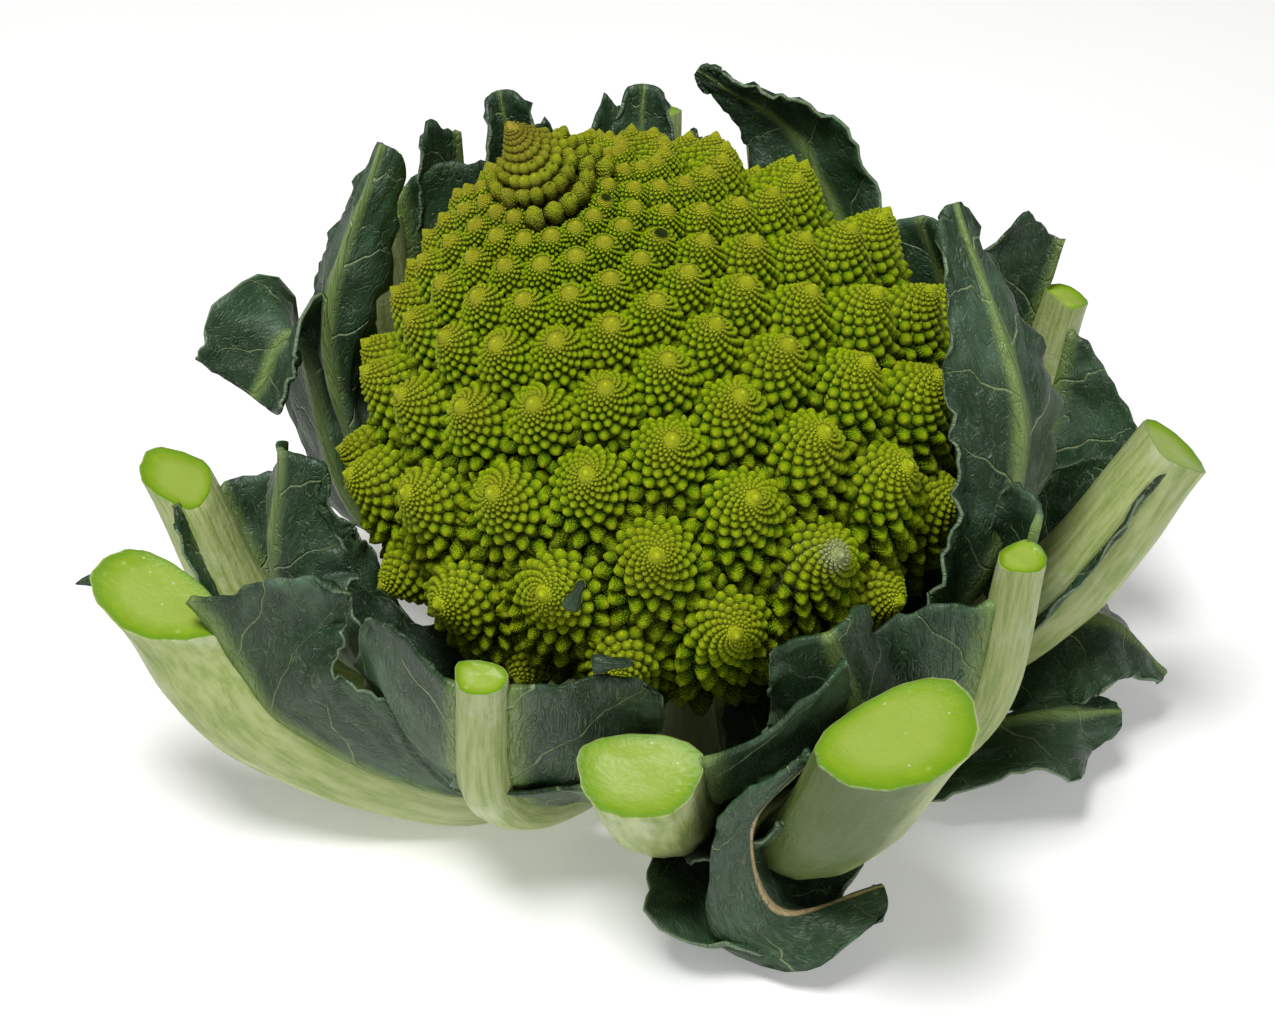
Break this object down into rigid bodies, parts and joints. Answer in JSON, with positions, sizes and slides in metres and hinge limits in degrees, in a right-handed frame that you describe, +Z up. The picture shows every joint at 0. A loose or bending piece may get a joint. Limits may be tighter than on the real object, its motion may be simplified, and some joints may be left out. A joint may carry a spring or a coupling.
{
  "type": "romanesco head",
  "caption": "Pointed curd of spiralling conical florets on a short cut stem, cupped by thick cut leaf ribs and waved leaf blades; stands on its flat cut.",
  "frame": {"origin": "middle of the stem's flat cut, on the surface the head stands on", "axes": "+Z up out of the cut, -Y towards the front, where the largest cut ribs are, +X to the right as seen from the front"},
  "size_m": [0.2684, 0.2254, 0.1616],
  "materials": {
    "floret": "satin",
    "stem": "matte",
    "rib": "satin",
    "blade": "satin"
  },
  "bodies": {
    "root": {"back_blade_ccw": "blade", "back_blade_cw": "blade", "back_left_blade_ccw": "blade", "back_left_blade_cw": "blade", "back_left_low_blade_ccw": "blade", "back_left_low_blade_cw": "blade", "back_left_low_rib": "rib", "back_left_rib": "rib", "back_left_tip": "blade", "back_rib": "rib", "back_right_blade_ccw": "blade", "back_right_blade_cw": "blade", "back_right_rib": "rib", "back_right_tip": "blade", "back_tip": "blade", "curd": "floret", "front_blade_ccw": "blade", "front_blade_cw": "blade", "front_inner": "blade", "front_left_blade_ccw": "blade", "front_left_blade_cw": "blade", "front_left_rib": "rib", "front_rib": "rib", "front_right_big_blade_ccw": "blade", "front_right_big_blade_cw": "blade", "front_right_big_rib": "rib", "front_right_collar": "blade", "front_skirt": "blade", "left_big_blade_ccw": "blade", "left_big_blade_cw": "blade", "left_big_rib": "rib", "left_inner": "blade", "left_scroll": "blade", "left_tall": "blade", "left_upper_blade_ccw": "blade", "left_upper_blade_cw": "blade", "left_upper_rib": "rib", "right_back_blade_ccw": "blade", "right_back_blade_cw": "blade", "right_back_low": "blade", "right_back_rib": "rib", "right_big_blade_ccw": "blade", "right_big_blade_cw": "blade", "right_big_rib": "rib", "right_front_blade_ccw": "blade", "right_front_blade_cw": "blade", "right_front_low": "blade", "right_front_rib": "rib", "right_low": "blade", "right_tall": "blade", "stem": "stem"}
  },
  "joints": []
}
